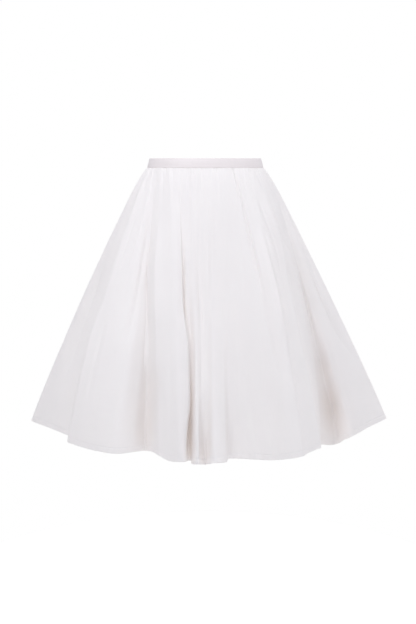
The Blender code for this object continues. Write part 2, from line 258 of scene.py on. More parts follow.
# Fine even gathers, as in the solids but lower
GATHERS = 52
GATHER_DEPTH = 0.00035
GATHER_PEAK = 0.05
GATHER_AT_SEAM = 0.35
GATHER_WANDER = 0.9
WANDER_WAVES = ((5, 1.0), (11, 0.0))
GATHER_UNEVEN = 0.35
UNEVEN_WAVES = ((7, 2.0), (17, 0.0))

# Cloth shell: its own thickness, and the narrow hem that is turned up and stitched
SHELL_THICKNESS = 0.0005
HEM_THICKNESS = 0.0013
HEM_DEPTH = 0.0110
HEM_EDGE_ROUND = 0.0010
HEM_STEP = 0.0012
STITCH_GROOVE = 0.00035
STITCH_GROOVE_WIDTH = 0.0009
HEM_PUCKER = 0.00022
HEM_PUCKERS = 130
HEM_PUCKER_WANDER = 2
HEM_PUCKER_REACH = 1.6
SEAM_GROOVE = 0.0007
SEAM_GROOVE_WIDTH = 0.0022
SEAM_RADIUS_AT_WAIST = 0.13
SEAM_RADIUS_TO_HEM = 0.26
SEAM_CALM_TURNS = 1.5
BAND_SEAM_GAP = 0.0001
CLOTH_LENGTH = 0.627

# The shell's grid: columns round a panel, and rows that are close under the band, even further down and close
# again at the turned hem, where they are given in millimetres from the edge
COLUMNS = 640
UPPER_ROWS = 15
UPPER_CROWDING = 1.3
UPPER_END = 0.12
MIDDLE_ROWS = 46
MIDDLE_END = 0.965
HEM_ROWS = (18, 15.6, 13.6, 12.6, 12.0, 11.5, 11.0, 10.5, 10.0, 9.4, 7.5, 5.2, 3.0, 1.4, 0.6, 0.2, 0)

# Flat cut of each panel, for the weave: a fan that turns about a point above the waist
CUT_WAIST_RADIUS = 0.31
CUT_ANGLE = 1.77

# Thread: straight stitches, each a short arch of thread that dips into the cloth at both ends
STITCH_LENGTH = 0.0024
STITCH_PITCH = 0.0031
THREAD_RADIUS = 0.00017
STITCH_ARCH = 0.00012
STITCH_SIDES = 6
STITCH_MARGIN_COLUMNS = 2
STITCH_RINGS = ((-1.0, 0.35), (-0.8, 0.85), (-0.3, 1.0), (0.3, 1.0), (0.8, 0.85), (1.0, 0.35))

# Side seams: both allowances overlocked together and pressed towards the back
ALLOWANCE_WIDTH = 0.0090
ALLOWANCE_THICKNESS = 0.0009
ALLOWANCE_START = 0.0004
ALLOWANCE_LIFT = 0.0002
ALLOWANCE_STEPS = 8
ALLOWANCE_COLUMNS = 24
ALLOWANCE_ABOVE_HEM = 1.1
OVERLOCK_WIDTH = 0.0035
OVERLOCK_HEIGHT = 0.00035
OVERLOCK_PITCH_ROWS = 2
OVERLOCK_WAVE = 0.0006
OVERLOCK_WAVE_PER_ROW = 0.9

# Satin band: crowned outer face, rounded edges, soft ripples of the elastic, and the ribs of its inner face
BAND_COLUMNS = 400
BAND_CROWN = 0.0004
BAND_EDGE = 0.0007
BAND_RIPPLE = 0.00010
BAND_RIPPLES = 61
BAND_RIPPLE_WANDER = 1.3
BAND_JOIN_TURN = 90.0
BAND_JOIN_DEPTH = 0.0005
BAND_JOIN_WIDTH = 0.0009
OUTER_STEPS = 14
EDGE_STEPS = 4
ELASTIC_RIBS = 10
ELASTIC_RIB = 0.00018
STEPS_PER_RIB = 4
BAND_STITCH_RISE = 0.0035

# Edges that turn by more degrees than this are shaded sharp
SHARP_OVER = 60
THREAD_SHARP_OVER = 80

# Floor: a round white sheet well below the hem, with the share of its radius and the fall of each ring
FLOOR_RADIUS = 0.75
FLOOR_HEIGHT = -1.05
FLOOR_SEGMENTS = 96
FLOOR_RINGS = ((0.6, 0.0), (0.9, 0.0), (0.985, -0.0015), (1.0, -0.012))

# Materials: pitches and reliefs in metres, noise scales per metre, colours as linear red, green and blue.
# Strengths are the shares of a relief that show, and roughness has a low and a high end.
WAVE_PERIOD = math.pi / 10
NOISE_RANGE = (0.3, 0.7)

THREAD_PITCH = 0.0006
WEAVE_RELIEF = 0.00012
WEAVE_STRENGTH = 0.35
SLUB_SCALE = 900.0
SLUB_STRETCH = 0.05
SLUB_SHARE = 0.4
CRINKLE_SCALE = 70.0
CRINKLE_DETAIL = 5.0
CRINKLE_COARSENESS = 0.6
CRINKLE_RELIEF = 0.0009
CRINKLE_STRENGTH = 0.5
CLOUD_SCALE = 9.0
CLOUD_DETAIL = 2.0
CLOUD_SHARE = 0.6
CLOTH_LIGHT = (0.935, 0.920, 0.916)
CLOTH_SHADE = (0.915, 0.898, 0.896)
CLOTH_THROUGH = (0.95, 0.91, 0.87)
CLOTH_SEE_THROUGH = 0.3
CLOTH_ROUGHNESS = (0.72, 0.84)
CLOTH_SPECULAR = 0.35
CLOTH_SHEEN = 0.12
CLOTH_SHEEN_ROUGHNESS = 0.45

SATIN_PITCH = 0.0005
SATIN_RELIEF = 0.00006
SATIN_STRENGTH = 0.3
SATIN_STREAKS = 22.0
SATIN_STREAK_DETAIL = 4.0
SATIN_STREAK_STRETCH = 14
SATIN_PEBBLE = 420.0
SATIN_PEBBLE_RELIEF = 0.0002
SATIN_PEBBLE_STRENGTH = 0.35
SATIN_LIGHT = (0.84, 0.775, 0.76)
SATIN_SHADE = (0.81, 0.745, 0.73)
SATIN_ROUGHNESS = (0.38, 0.48)
SATIN_ANISOTROPY = 0.4
SATIN_SHEEN = 0.1

TWIST_PITCH = 0.0003
TWIST_RELIEF = 0.00006
TWIST_STRENGTH = 0.5
FUZZ_SCALE = 2600.0
FUZZ_DETAIL = 2.0
THREAD_LIGHT = (0.95, 0.94, 0.95)
THREAD_SHADE = (0.88, 0.87, 0.88)
THREAD_ROUGHNESS = (0.45, 0.6)

GRAIN_SCALE = 180.0
GRAIN_DETAIL = 4.0
GRAIN_RELIEF = 0.0002
GRAIN_STRENGTH = 0.2
FLOOR_LIGHT = (0.88, 0.88, 0.88)
FLOOR_SHADE = (0.84, 0.84, 0.85)
FLOOR_ROUGHNESS = 0.9
FLOOR_GLOW = 0.5

# Light: one colour for all, the surrounding light's strength from each side, and two softboxes in watts
LIGHT_COLOUR = (0.921, 0.943, 1.0)
SURROUND_LIGHT = (("+Z", 1.35), ("-Z", 1.91), ("+Y", 0.45), ("+X", 0.33))
LIGHT_AIM = (0, 0, -0.2)
Softbox = namedtuple("Softbox", "name place width height power")
SOFTBOXES = (
    Softbox("top_softbox", (0, -0.9, 1.2), 1.0, 0.8, 5.2),
    Softbox("left_softbox", (-0.7, -1.2, 0.9), 0.8, 0.8, 7.9),
)

# Light bounces on from fold to fold inside white cloth, so more bounces are followed than usual
DIFFUSE_BOUNCES = 12
ALL_BOUNCES = 16

# Camera, from the photograph: metres for each pixel at the waist's depth, the distance to it, and the row of
# the horizon and the column of the skirt's middle in pixels
IMAGE_WIDTH = 416
IMAGE_HEIGHT = 624
METRES_PER_PIXEL = 0.002232
CAMERA_DISTANCE = 2.45
HORIZON_ROW = 163.0
MIDDLE_COLUMN = 205.25
SENSOR = 36.0


def flare_reach(hem_turn):
    """Distance from the middle to the plain cone's hem, in the direction hem_turn."""
    angle = math.radians(hem_turn)
    return 1 / math.hypot(math.cos(angle) / FLARE_HALF_WIDTH, math.sin(angle) / FLARE_HALF_DEPTH)


def fold_values(fold):
    """Hem x, y and drop, the plain cone's hem x and y, growth and swell."""
    angle = math.radians(fold.hem_turn)
    ahead = np.array((math.cos(angle), math.sin(angle)))
    return (*(ahead * fold.reach), fold.drop, *(ahead * flare_reach(fold.hem_turn)), fold.growth, fold.swell)


FOLD_TURNS = np.array([fold.turn for fold in FOLDS], float)
FOLD_VALUES = np.array([fold_values(fold) for fold in FOLDS])


def blend_folds(turns):
    """fold_values at each turn, on a smooth closed curve through the rows."""
    count = len(FOLDS)
    after = np.searchsorted(FOLD_TURNS, turns % 360, side="right")
    picks = [(after + step) % count for step in (-2, -1, 0, 1)]
    gaps = [(FOLD_TURNS[picks[i + 1]] - FOLD_TURNS[picks[i]]) % 360 for i in range(3)]
    share = ((turns - FOLD_TURNS[picks[1]]) % 360) / gaps[1]
    before, first, second, beyond = (FOLD_VALUES[pick] for pick in picks)
    start = (second - before) * (gaps[1] / (gaps[0] + gaps[1]))[:, None]
    end = (beyond - first) * (gaps[1] / (gaps[1] + gaps[2]))[:, None]
    share = share[:, None]
    square, cube = share**2, share**3
    return (
        first * (2 * cube - 3 * square + 1)
        + start * (cube - 2 * square + share)
        + second * (3 * square - 2 * cube)
        + end * (cube - square)
    )


def flare_share(downs):
    """How far out the plain cone is: straight, but puffed out just below the band."""
    return downs + PUFF * (1 - np.exp(-downs / PUFF_RISE)) * (1 - downs**PUFF_FALL_POWER)


def slow_waves(angles, waves):
    return sum(np.sin(count * angles + phase) for count, phase in waves)


def gather_depth(turns, downs):
    """Height of the fine gathers: uneven waves, highest just below the seam and fading out further down."""
    angles = np.radians(turns)[:, None]
    wave = np.cos(GATHERS * angles + GATHER_WANDER * slow_waves(angles, WANDER_WAVES))
    uneven = 1 + GATHER_UNEVEN * slow_waves(angles, UNEVEN_WAVES)
    share = downs[None, :] / GATHER_PEAK
    fade = GATHER_AT_SEAM * np.exp(-share) + share * np.exp(1 - share)
    return GATHER_DEPTH * fade * uneven * wave


def unit(vectors):
    return vectors / np.linalg.norm(vectors, axis=-1, keepdims=True)


def smooth_step(share):
    share = np.clip(share, 0, 1)
    return share * share * (3 - 2 * share)


def folded_surface(turns, downs):
    """Points of the cloth's outer face with its large folds, one for each turn and each down."""
    half_width = BAND_BOTTOM_HALF_WIDTH - BAND_PROUD
    half_depth = BAND_BOTTOM_HALF_DEPTH - BAND_PROUD
    angles = np.radians(turns)
    waist = np.stack((half_width * np.cos(angles), half_depth * np.sin(angles)), 1)
    out = unit(waist / (BAND_BOTTOM_HALF_WIDTH**2, BAND_BOTTOM_HALF_DEPTH**2))
    blended = blend_folds(turns)
    hem, drop, plain = blended[:, 0:2], blended[:, 2], blended[:, 3:5]
    growth, swell = np.maximum(blended[:, 5], 1), blended[:, 6]
    down = downs[None, :, None]
    flat = waist[:, None] + (plain - waist)[:, None] * flare_share(down)
    flat = flat + (hem - plain)[:, None] * down ** growth[:, None, None]
    flat = flat + unit(plain)[:, None] * swell[:, None, None] * 4 * down * (1 - down)
    flat = flat + out[:, None] * gather_depth(turns, downs)[:, :, None]
    top = -BAND_HEIGHT / 2 - BAND_SEAM_GAP
    height = top - (drop[:, None] + top) * downs[None, :]
    return np.concatenate((flat, height[:, :, None]), 2)


def grid_normals(points):
    """Outward directions of a grid of points, turns by downs."""
    along = np.gradient(points, axis=0)
    below = np.gradient(points, axis=1)
    return unit(np.cross(below, along))


def strewn_creases(seed, first_turn, last_turn):
    """Small uneven folds over one panel, the same on every run."""
    dice = np.random.default_rng(seed)
    creases = []
    for kind in STREWN_FOLDS:
        for number in range(kind.count):
            spot = (number + dice.uniform(*STREWN_SPOT)) / kind.count
            turn = first_turn + (last_turn - first_turn) * spot
            length = dice.uniform(kind.length_low, kind.length_high)
            at_waist = dice.random() < kind.top_share
            start = -length / 2 if at_waist else dice.uniform(0, STREWN_LAST_END - length)
            height = dice.uniform(kind.height_low, kind.height_high) * (1 if dice.random() < 0.5 else -1)
            before, after = dice.uniform(kind.width_low, kind.width_high, 2)
            lean, bow = dice.uniform(-STREWN_LEAN, STREWN_LEAN, 2)
            bow = bow * STREWN_BOW_SHARE
            creases.append(
                Crease(kind.name, turn, start, turn + lean, start + length, bow, height, before, after)
            )
    return creases


def length_along(points):
    """How far each point of a grid lies from its row's first point, along the row."""
    steps = np.linalg.norm(np.diff(points, axis=0), axis=2)
    return np.concatenate((np.zeros((1, steps.shape[1])), np.cumsum(steps, axis=0)))


def end_fade(mark, share):
    """Fade of a crease or nudge over its length, with no fade where it runs on at the waist or the hem."""
    fade = smooth_step(share / END_FADE) if mark.down > 0 else np.ones_like(share)
    return fade * smooth_step((1 - share) / END_FADE) if mark.end_down < 1 else fade


def flank_fall(offset, before, after):
    """Bell-shaped fall from 1 on a middle line to 0 beyond its flanks, with their widths before and after."""
    return np.exp(-((offset / np.where(offset < 0, before, after)) ** 2))


def crease_heights(creases, turns, downs, points):
    """Sum of all the creases' heights over the panel's grid, in metres."""
    along = length_along(points)
    total = np.zeros_like(along)
    for crease in creases:
        share = (downs - crease.down) / (crease.end_down - crease.down)
        rows = np.nonzero((share > 0) & (share < 1) | (share == 1) & (crease.end_down == 1))[0]
        if not len(rows):
            continue
        share = share[rows]
        line = crease.turn + (crease.end_turn - crease.turn) * share + crease.bow * 4 * share * (1 - share)
        middle = np.array([np.interp(at, turns, along[:, row]) for at, row in zip(line, rows)])
        spread = (CREASE_SPREAD_AT_WAIST + CREASE_SPREAD_TO_HEM * downs[rows])[None, :]
        before, after = (width / MM_PER_M * spread for width in (crease.before, crease.after))
        fall = flank_fall(along[:, rows] - middle[None, :], before, after)
        total[:, rows] += crease.height / MM_PER_M * end_fade(crease, share)[None, :] * fall
    return total


def nudged(points, nudges, turns, downs):
    """The folded cloth's points after all the nudges."""
    plain = blend_folds(turns)[:, 3:5]
    out = unit(plain)
    along = np.stack((-out[:, 1], out[:, 0]), 1)
    moved = points.copy()
    for nudge in nudges:
        share = (downs - nudge.down) / (nudge.end_down - nudge.down)
        offset = turns[:, None] - (nudge.turn + (nudge.end_turn - nudge.turn) * share)[None, :]
        amount = end_fade(nudge, share)[None, :] * flank_fall(offset, nudge.before, nudge.after) / MM_PER_M
        move = out * nudge.out + along * nudge.along
        moved[:, :, :2] += amount[:, :, None] * move[:, None]
        moved[:, :, 2] -= amount * nudge.sink
    return moved


def sewn_heights(turns, downs):
    """What sewing does to the outer face's height: the hem's groove and puckers, and the seams' grooves."""
    to_hem = ((1 - downs) * CLOTH_LENGTH)[None, :]
    groove = -STITCH_GROOVE * np.exp(-(((to_hem - HEM_DEPTH) / STITCH_GROOVE_WIDTH) ** 2))
    angles = np.radians(turns)[:, None]
    wander = HEM_PUCKER_WANDER * slow_waves(angles, WANDER_WAVES)
    pucker = HEM_PUCKER * np.sin(HEM_PUCKERS * angles + wander)
    groove = groove + pucker * smooth_step(1 - np.abs(to_hem - HEM_DEPTH) / (HEM_PUCKER_REACH * HEM_DEPTH))
    from_seam = np.minimum(turns - turns[0], turns[-1] - turns)[:, None]
    metres_per_degree = math.radians(1) * (SEAM_RADIUS_AT_WAIST + SEAM_RADIUS_TO_HEM * downs)[None, :]
    pull = np.exp(-((from_seam * metres_per_degree / SEAM_GROOVE_WIDTH) ** 2))
    edge = -HEM_EDGE_ROUND / 2 * smooth_step(1 - to_hem / HEM_EDGE_ROUND)
    return groove - SEAM_GROOVE * pull + edge


class Panel:
    """One panel of cloth: its grid of turns and downs, and its outer and inner faces."""

    def __init__(self, side, first_turn, last_turn, creases, nudges):
        self.turns = np.linspace(first_turn, last_turn, COLUMNS + 1)
        self.downs = rows_down()
        folded = nudged(folded_surface(self.turns, self.downs), nudges, self.turns, self.downs)
        every = list(creases) + strewn_creases(STREWN_SEEDS[side], first_turn, last_turn)
        height = crease_heights(every, self.turns, self.downs, folded)
        height = height * self.away_from_seams() + sewn_heights(self.turns, self.downs)
        self.outer = folded + grid_normals(folded) * height[:, :, None]
        self.normals = grid_normals(self.outer)
        to_hem = (1 - self.downs) * CLOTH_LENGTH
        turned = smooth_step((HEM_DEPTH + HEM_STEP / 2 - to_hem) / HEM_STEP)
        thickness = SHELL_THICKNESS + (HEM_THICKNESS - SHELL_THICKNESS) * turned
        thickness = thickness - HEM_EDGE_ROUND / 2 * smooth_step(1 - to_hem / HEM_EDGE_ROUND)
        self.inner = self.outer - self.normals * thickness[None, :, None]

    def away_from_seams(self):
        """0 at the side seams, where the panels meet, and 1 away from them."""
        from_seam = np.minimum(self.turns - self.turns[0], self.turns[-1] - self.turns)
        return smooth_step(from_seam / SEAM_CALM_TURNS)[:, None]

    def cut_place(self):
        """Where each point lies on the flat cut, in metres: across and along the threads."""
        share = (self.turns - self.turns[0]) / (self.turns[-1] - self.turns[0]) - 0.5
        angle = (share * CUT_ANGLE)[:, None]
        radius = (CUT_WAIST_RADIUS + self.downs * CLOTH_LENGTH)[None, :]
        return np.stack((radius * np.sin(angle), radius * np.cos(angle)), 2)


def rows_down():
    """Rows from the waist seam to the hem: close under the band and at the hem's turning."""
    upper = np.linspace(0, 1, UPPER_ROWS)[:-1] ** UPPER_CROWDING * UPPER_END
    middle = np.linspace(UPPER_END, MIDDLE_END, MIDDLE_ROWS)
    return np.concatenate((upper, middle, 1 - np.array(HEM_ROWS) / MM_PER_M / CLOTH_LENGTH))


def link(thing):
    bpy.context.scene.collection.objects.link(thing)
    return thing


def mesh_object(name, points, faces, finish, sharp_over=SHARP_OVER, places=None):
    """A smooth-shaded mesh object, with places as its UV map where given, one for each point."""
    mesh = bpy.data.meshes.new(name)
    mesh.from_pydata(np.asarray(points).tolist(), [], faces)
    mesh.materials.append(finish)
    if places is not None:
        layer = mesh.uv_layers.new(name="cut")
        corners = np.empty(len(mesh.loops), int)
        mesh.loops.foreach_get("vertex_index", corners)
        layer.data.foreach_set("uv", np.asarray(places, dtype=np.float32)[corners].ravel())
    mesh.shade_smooth()
    mesh.set_sharp_from_angle(angle=math.radians(sharp_over))
    return link(bpy.data.objects.new(name, mesh))


def shell_faces(columns, rows):
    """Faces of a closed shell over two grids of points, outer then inner, with a rim round both."""
    shift = (columns + 1) * rows
    faces = []
    for column in range(columns):
        for row in range(rows - 1):
            a = column * rows + row
            b = a + rows
            faces.append((a, a + 1, b + 1, b))
            faces.append((a + shift, b + shift, b + 1 + shift, a + 1 + shift))
    top = [column * rows for column in range(columns + 1)]
    right = [columns * rows + row for row in range(rows)]
    bottom = [column * rows + rows - 1 for column in range(columns, -1, -1)]
    left = list(range(rows - 1, -1, -1))
    for edge in (top, right, bottom, left):
        faces.extend((b, a, a + shift, b + shift) for a, b in zip(edge, edge[1:]))
    return faces


def cloth_piece(name, panel, finish):
    points = np.concatenate((panel.outer.reshape(-1, 3), panel.inner.reshape(-1, 3)))
    places = np.tile(panel.cut_place().reshape(-1, 2), (2, 1))
    return mesh_object(name, points, shell_faces(COLUMNS, len(panel.downs)), finish, places=places)


def values_at(spots, along, values):
    """Points or directions at one spot or several on a line, from those that lie at along on it."""
    return np.stack([np.interp(spots, along, values[:, axis]) for axis in range(3)], -1)


def stitch_row(points, normals):
    """Stitches along a line on the cloth: their middles, directions and outward directions, evenly spaced."""
    along = length_along(points[:, None])[:, 0]
    count = int(along[-1] / STITCH_PITCH)
    spots = (np.arange(count) + 0.5) * along[-1] / count
    start, end = (values_at(spots + half, along, points) for half in (-STITCH_LENGTH / 2, STITCH_LENGTH / 2))
    return (start + end) / 2, unit(end - start), unit(values_at(spots, along, normals))


def stitch_piece(name, rows, finish):
    """All the stitches of several rows as one mesh of small closed arches."""
    middles, ahead, out = (np.concatenate([row[part] for row in rows]) for part in range(3))
    side = unit(np.cross(ahead, out))
    rings = []
    for share, thickness in STITCH_RINGS:
        height = STITCH_ARCH * (1 - 2 * share**2)
        centre = middles + ahead * (share * STITCH_LENGTH / 2) + out * height
        for number in range(STITCH_SIDES):
            angle = 2 * math.pi * number / STITCH_SIDES
            spoke = side * math.cos(angle) + out * math.sin(angle)
            rings.append(centre + spoke * (THREAD_RADIUS * thickness))
    points = np.stack(rings, 1).reshape(-1, 3)
    pattern = []
    for ring in range(len(STITCH_RINGS) - 1):
        for number in range(STITCH_SIDES):
            a = ring * STITCH_SIDES + number
            b = ring * STITCH_SIDES + (number + 1) % STITCH_SIDES
            pattern.append((a, b, b + STITCH_SIDES, a + STITCH_SIDES))
    each = len(STITCH_RINGS) * STITCH_SIDES
    pattern += [range(STITCH_SIDES - 1, -1, -1), range(each - STITCH_SIDES, each)]
    faces = [tuple(corner + each * i for corner in face) for i in range(len(middles)) for face in pattern]
    return mesh_object(name, points, faces, finish, THREAD_SHARP_OVER)


def hem_stitches(name, panel, finish):
    """The row of stitches that holds the hem, as seen on the cloth's face and on its inside."""
    row = int(np.argmin(np.abs((1 - panel.downs) * CLOTH_LENGTH - HEM_DEPTH)))
    sewn = slice(STITCH_MARGIN_COLUMNS, -STITCH_MARGIN_COLUMNS)
    face = stitch_row(panel.outer[sewn, row], panel.normals[sewn, row])
    inside = stitch_row(panel.inner[sewn, row], -panel.normals[sewn, row])
    return stitch_piece(name, (face, inside), finish)


def seam_allowance(name, panel, columns, finish):
    """A narrow overlocked strip inside a panel, from a side seam along the panel's first or last columns."""
    inner, normals = panel.inner[columns], panel.normals[columns]
    along = length_along(inner)
    widths = np.linspace(ALLOWANCE_START, ALLOWANCE_WIDTH, ALLOWANCE_STEPS + 1)
    rows = np.nonzero((1 - panel.downs) * CLOTH_LENGTH >= HEM_DEPTH * ALLOWANCE_ABOVE_HEM)[0][1:]
    under, over = [], []
    for width in widths:
        at_edge = smooth_step((width - ALLOWANCE_WIDTH + OVERLOCK_WIDTH) / OVERLOCK_WIDTH)
        for number, row in enumerate(rows):
            place = values_at(width, along[:, row], inner[:, row])
            out = unit(values_at(width, along[:, row], normals[:, row]))
            wave = (1 + math.sin(number * OVERLOCK_WAVE_PER_ROW)) / 2
            lift = ALLOWANCE_LIFT + OVERLOCK_WAVE * at_edge * wave
            thick = ALLOWANCE_THICKNESS + OVERLOCK_HEIGHT * at_edge * (number % OVERLOCK_PITCH_ROWS)
            under.append(place - out * lift)
            over.append(place - out * (lift + thick))
    return mesh_object(name, np.array(over + under), shell_faces(ALLOWANCE_STEPS, len(rows)), finish)


def band_section():
    """The band's closed section, as insets from its outer face and heights, from the outer face's foot up."""
    half = BAND_HEIGHT / 2
    section = []
    for height in np.linspace(BAND_EDGE - half, half - BAND_EDGE, OUTER_STEPS):
        section.append((BAND_CROWN * (height / half) ** 2, height))
    for middle, first, last in ((BAND_EDGE, 1, 0), (BAND_THICKNESS - BAND_EDGE, 0, 1)):
        for angle in np.linspace(first, last, EDGE_STEPS) * math.pi / 2:
            outward = math.sin(angle) if first else -math.sin(angle)
            inset = middle + BAND_CROWN * first - BAND_EDGE * outward
            section.append((inset, half - BAND_EDGE + BAND_EDGE * math.cos(angle)))
    steps = ELASTIC_RIBS * STEPS_PER_RIB
    for step in range(1, steps):
        rib = ELASTIC_RIB * (1 - math.cos(2 * math.pi * step / STEPS_PER_RIB)) / 2
        height = half - BAND_EDGE - (BAND_HEIGHT - 2 * BAND_EDGE) * step / steps
        section.append((BAND_THICKNESS - rib, height))
    mirrored = [(inset, -height) for inset, height in section[OUTER_STEPS:OUTER_STEPS + 2 * EDGE_STEPS]]
    return section + mirrored[::-1]


def band_halves(height):
    """Half the band's outer width and depth, at a height over its middle."""
    rise = height / BAND_HEIGHT + 0.5
    half_width = BAND_BOTTOM_HALF_WIDTH + (BAND_TOP_HALF_WIDTH - BAND_BOTTOM_HALF_WIDTH) * rise
    half_depth = BAND_BOTTOM_HALF_DEPTH + (BAND_TOP_HALF_DEPTH - BAND_BOTTOM_HALF_DEPTH) * rise
    return half_width, half_depth


def band_ring(turn, section):
    """Points of the band's section at one turn, with the elastic's ripples and the groove of its join."""
    angle = math.radians(turn)
    wave = math.sin(BAND_RIPPLES * angle + BAND_RIPPLE_WANDER * slow_waves(angle, WANDER_WAVES))
    from_join = math.radians(turn - BAND_JOIN_TURN) * BAND_BOTTOM_HALF_WIDTH
    sunk = BAND_JOIN_DEPTH * math.exp(-((from_join / BAND_JOIN_WIDTH) ** 2)) - BAND_RIPPLE * wave
    ring = []
    for inset, height in section:
        half_width, half_depth = band_halves(height)
        inset = inset + sunk * max(0, 1 - inset / BAND_THICKNESS)
        ring.append(((half_width - inset) * math.cos(angle), (half_depth - inset) * math.sin(angle), height))
    return ring


def band_piece(name, finish):
    section = band_section()
    size = len(section)
    points = []
    for column in range(BAND_COLUMNS):
        points.extend(band_ring(360 * column / BAND_COLUMNS, section))
    faces = []
    for column in range(BAND_COLUMNS):
        here, there = column * size, (column + 1) % BAND_COLUMNS * size
        for a in range(size):
            b = (a + 1) % size
            faces.append((here + a, there + a, there + b, here + b))
    return mesh_object(name, points, faces, finish)


def band_stitches(name, finish):
    """The stitches that hold the cloth's top edge, seen along the foot of the band's inner face."""
    height = BAND_STITCH_RISE - BAND_HEIGHT / 2
    half_width, half_depth = (half - BAND_THICKNESS for half in band_halves(height))
    angles = np.linspace(0, 2 * math.pi, BAND_COLUMNS + 1)
    across, deep = np.cos(angles), np.sin(angles)
    points = np.stack((half_width * across, half_depth * deep, np.full_like(angles, height)), 1)
    inward = -unit(np.stack((across / half_width, deep / half_depth, np.zeros_like(angles)), 1))
    return stitch_piece(name, (stitch_row(points, inward),), finish)


def floor_piece(finish):
    """A round floor with a soft, slightly lowered rim."""
    points = [(0, 0, FLOOR_HEIGHT)]
    for reach, fall in FLOOR_RINGS:
        for segment in range(FLOOR_SEGMENTS):
            angle = 2 * math.pi * segment / FLOOR_SEGMENTS
            ahead = FLOOR_RADIUS * reach
            points.append((ahead * math.cos(angle), ahead * math.sin(angle), FLOOR_HEIGHT + fall))
    faces = [(0, 1 + i, 1 + (i + 1) % FLOOR_SEGMENTS) for i in range(FLOOR_SEGMENTS)]
    for ring in range(len(FLOOR_RINGS) - 1):
        for i in range(FLOOR_SEGMENTS):
            a = 1 + ring * FLOOR_SEGMENTS + i
            b = 1 + ring * FLOOR_SEGMENTS + (i + 1) % FLOOR_SEGMENTS
            faces.append((a, a + FLOOR_SEGMENTS, b + FLOOR_SEGMENTS, b))
    return mesh_object("floor", points, faces, finish)


class Nodes:
    """Short ways to add and join the shader nodes of a material or a world."""

    def __init__(self, owner):
        self.owner = owner
        owner.use_nodes = True
        self.tree = owner.node_tree

    def add(self, kind, **values):
        """A node with its settings, and its inputs set or joined by name or number."""
        node = self.tree.nodes.new(kind)
        inputs = values.pop("inputs", {})
        for key, value in values.items():
            setattr(node, key, value)
        for key, value in inputs.items():
            self.put(node.inputs[key], value)
        return node

    def put(self, socket, value):
        if isinstance(value, bpy.types.NodeSocket):
            self.tree.links.new(value, socket)
        else:
            socket.default_value = value

    def shade(self, values):
        """The material's main shader, with its inputs set or joined by name."""
        shader = self.tree.nodes["Principled BSDF"]
        for name, value in values.items():
            self.put(shader.inputs[name], value)
        return shader

    def math(self, operation, first, second):
        return self.add("ShaderNodeMath", operation=operation, inputs={0: first, 1: second}).outputs[0]

    def noise(self, place, scale, detail=3.0, rough=0.5):
        values = {"Vector": place, "Scale": scale, "Detail": detail, "Roughness": rough}
        return self.add("ShaderNodeTexNoise", inputs=values).outputs["Fac"]

    def stretch(self, place, scale):
        return self.add("ShaderNodeMapping", inputs={"Vector": place, "Scale": scale}).outputs[0]

    def threads(self, place, direction, pitch):
        """Even threads across one direction, pitch metres apart."""
        values = {"Vector": place, "Scale": WAVE_PERIOD / pitch, "Distortion": 0.0}
        return self.add("ShaderNodeTexWave", bands_direction=direction, inputs=values).outputs["Fac"]

    def span(self, value, low=0, high=1):
        """A noise's value, spread from its usual range over low to high."""
        least, most = NOISE_RANGE
        ends = {"Value": value, "From Min": least, "From Max": most, "To Min": low, "To Max": high}
        return self.add("ShaderNodeMapRange", inputs=ends).outputs[0]

    def between(self, share, low, high):
        """A colour between two others. The mix node's colours are its inputs 6 and 7 and its output 2."""
        values = {"Factor": share, 6: (*low, 1), 7: (*high, 1)}
        return self.add("ShaderNodeMix", data_type="RGBA", inputs=values).outputs[2]

    def bump(self, height, relief, strength, under=None):
        values = {"Height": height, "Distance": relief, "Strength": strength}
        if under is not None:
            values["Normal"] = under
        return self.add("ShaderNodeBump", inputs=values).outputs[0]


def cloth_material():
    """Fine matt white cloth: a plain weave with slubs, faint crinkles, a soft sheen, and light through it."""
    nodes = Nodes(bpy.data.materials.new("skirt_cloth"))
    cut = nodes.add("ShaderNodeUVMap", uv_map="cut").outputs[0]
    warp, weft = (nodes.threads(cut, direction, THREAD_PITCH) for direction in "XY")
    slubs = nodes.noise(nodes.stretch(cut, (1, SLUB_STRETCH, 1)), SLUB_SCALE)
    cross_slubs = nodes.noise(nodes.stretch(cut, (SLUB_STRETCH, 1, 1)), SLUB_SCALE)
    crinkles = nodes.noise(cut, CRINKLE_SCALE, CRINKLE_DETAIL, CRINKLE_COARSENESS)
    clouds = nodes.noise(cut, CLOUD_SCALE, CLOUD_DETAIL)
    crossings = nodes.math("MULTIPLY", warp, weft)
    weave = nodes.math("ADD", crossings, nodes.math("MULTIPLY", slubs, cross_slubs))
    normal = nodes.bump(weave, WEAVE_RELIEF, WEAVE_STRENGTH)
    normal = nodes.bump(crinkles, CRINKLE_RELIEF, CRINKLE_STRENGTH, normal)
    cloudy = nodes.math("MULTIPLY", clouds, CLOUD_SHARE)
    tone = nodes.math("ADD", cloudy, nodes.math("MULTIPLY", slubs, SLUB_SHARE))
    shader = nodes.shade({
        "Base Color": nodes.between(nodes.span(tone), CLOTH_SHADE, CLOTH_LIGHT),
        "Roughness": nodes.span(crinkles, *CLOTH_ROUGHNESS),
        "Normal": normal,
        "Sheen Weight": CLOTH_SHEEN,
        "Sheen Roughness": CLOTH_SHEEN_ROUGHNESS,
        "Specular IOR Level": CLOTH_SPECULAR,
    })
    glow = nodes.add("ShaderNodeBsdfTranslucent", inputs={"Color": (*CLOTH_THROUGH, 1), "Normal": normal})
    both = {0: CLOTH_SEE_THROUGH, 1: shader.outputs[0], 2: glow.outputs[0]}
    mix = nodes.add("ShaderNodeMixShader", inputs=both)
    nodes.put(nodes.tree.nodes["Material Output"].inputs["Surface"], mix.outputs[0])
    return nodes.owner


